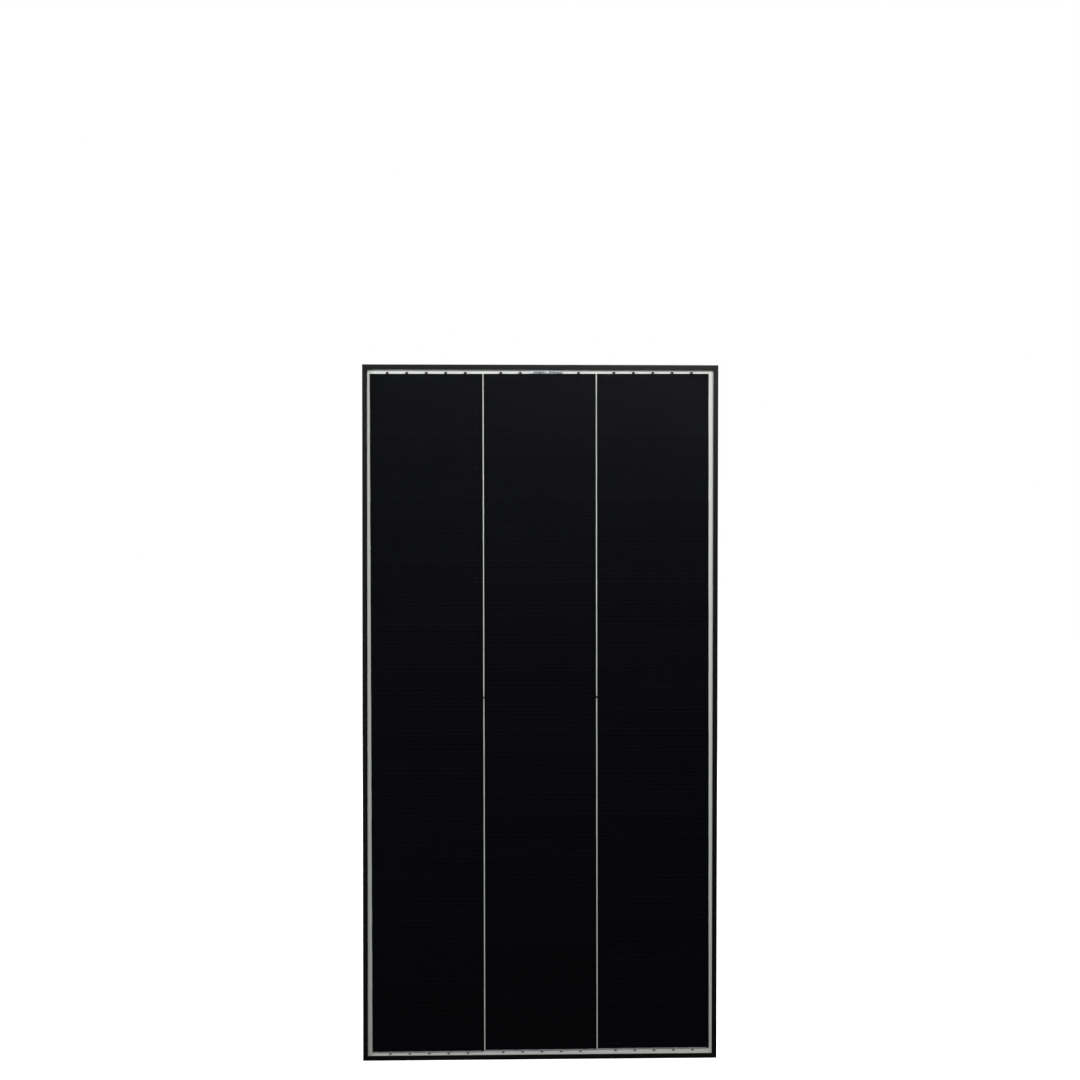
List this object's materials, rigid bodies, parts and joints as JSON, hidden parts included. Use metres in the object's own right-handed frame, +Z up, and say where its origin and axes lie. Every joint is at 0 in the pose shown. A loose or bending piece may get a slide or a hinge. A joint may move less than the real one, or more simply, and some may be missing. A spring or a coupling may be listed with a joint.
{
  "type": "framed solar panel",
  "caption": "Upright framed solar panel: shingled dark cells on a white backsheet under glass, black aluminium rails, and a rear junction box with a hinged lid and screwed cable glands.",
  "frame": {"origin": "centre of the four mounting slots, in the plane of the frame's rear flanges, which is also the middle of the panel's outline", "axes": "+Z up, +X to the right as the glass is looked at, and the glass faces -Y"},
  "size_m": [0.503, 0.03, 0.986],
  "materials": {
    "black_anodised": "fine matt anodising",
    "cast_aluminium": "as cast",
    "black_rubber": "matt",
    "solar_glass": "low-iron, tempered, with a matt anti-glare front",
    "clear_encapsulant": "clear cured sheet",
    "white_encapsulant": "white cured sheet",
    "white_backsheet": "satin white film",
    "dark_silicon": "blue-black silicon behind glass",
    "black_ribbon": "black-coated copper ribbon",
    "tinned_copper": "tinned copper",
    "insulation_film": "white film",
    "label_paper": "printed film label",
    "white_silicone": "cured silicone bead",
    "black_moulding": "fine-textured black moulding",
    "plated_steel": "zinc plated",
    "diode_epoxy": "moulded epoxy"
  },
  "bodies": {
    "panel": {"frame_rail_left": "black_anodised", "frame_rail_right": "black_anodised", "frame_rail_top": "black_anodised", "frame_rail_bottom": "black_anodised", "corner_key_top_left": "cast_aluminium", "corner_key_top_right": "cast_aluminium", "corner_key_bottom_left": "cast_aluminium", "corner_key_bottom_right": "cast_aluminium", "edge_seal": "black_rubber", "gland_seal_left": "black_rubber", "gland_seal_right": "black_rubber", "glass_pane": "solar_glass", "front_encapsulant": "clear_encapsulant", "rear_encapsulant": "white_encapsulant", "backsheet": "white_backsheet", "cell_string_left": "dark_silicon", "cell_string_centre": "dark_silicon", "cell_string_right": "dark_silicon", "top_comb_left": "black_ribbon", "top_comb_centre": "black_ribbon", "top_comb_right": "black_ribbon", "bottom_comb_left": "black_ribbon", "bottom_comb_centre": "black_ribbon", "bottom_comb_right": "black_ribbon", "centre_tap_bar": "black_ribbon", "top_bus_bar": "tinned_copper", "bottom_bus_bar": "tinned_copper", "lead_ribbon_top": "tinned_copper", "lead_ribbon_centre": "tinned_copper", "lead_ribbon_bottom": "tinned_copper", "terminal_left": "tinned_copper", "terminal_centre": "tinned_copper", "terminal_right": "tinned_copper", "insulation_film_top": "insulation_film", "insulation_film_centre": "insulation_film", "insulation_film_bottom": "insulation_film", "barcode_label": "label_paper", "rating_label": "label_paper", "box_adhesive": "white_silicone", "junction_box_base": "black_moulding", "lid_hinge_pin": "plated_steel", "clamp_washer_left": "plated_steel", "clamp_washer_right": "plated_steel", "clamp_screw_left": "plated_steel", "clamp_screw_right": "plated_steel", "bypass_diode_left": "diode_epoxy", "bypass_diode_right": "diode_epoxy"},
    "lid": {"junction_box_lid": "black_moulding", "lid_gasket": "black_rubber"},
    "left_slip_ring": {"gland_slip_ring_left": "black_moulding"},
    "right_slip_ring": {"gland_slip_ring_right": "black_moulding"},
    "left_nut": {"gland_nut_left": "black_moulding"},
    "right_nut": {"gland_nut_right": "black_moulding"}
  },
  "joints": [
    {"name": "lid_hinge", "type": "hinge", "parent": "panel", "child": "lid", "pos_m": [0, -0.0043, 0.4251], "axis": [1, 0, 0], "range_deg": [0, 110]},
    {"name": "left_gland_travel", "type": "slide", "parent": "panel", "child": "left_slip_ring", "axis": [0, 0, -1], "range_m": [0, 0.003]},
    {"name": "right_gland_travel", "type": "slide", "parent": "panel", "child": "right_slip_ring", "axis": [0, 0, -1], "range_m": [0, 0.003]},
    {"name": "left_nut_turn", "type": "hinge", "parent": "left_slip_ring", "child": "left_nut", "pos_m": [-0.03, -0.013, 0.339], "axis": [0, 0, -1], "range_deg": [0, 720]},
    {"name": "right_nut_turn", "type": "hinge", "parent": "right_slip_ring", "child": "right_nut", "pos_m": [0.03, -0.013, 0.339], "axis": [0, 0, -1], "range_deg": [0, 720]}
  ],
  "couplings": [
    {"joint": "left_gland_travel", "follows": "left_nut_turn", "m_per_rad": 0.0002387},
    {"joint": "right_gland_travel", "follows": "right_nut_turn", "m_per_rad": 0.0002387}
  ]
}
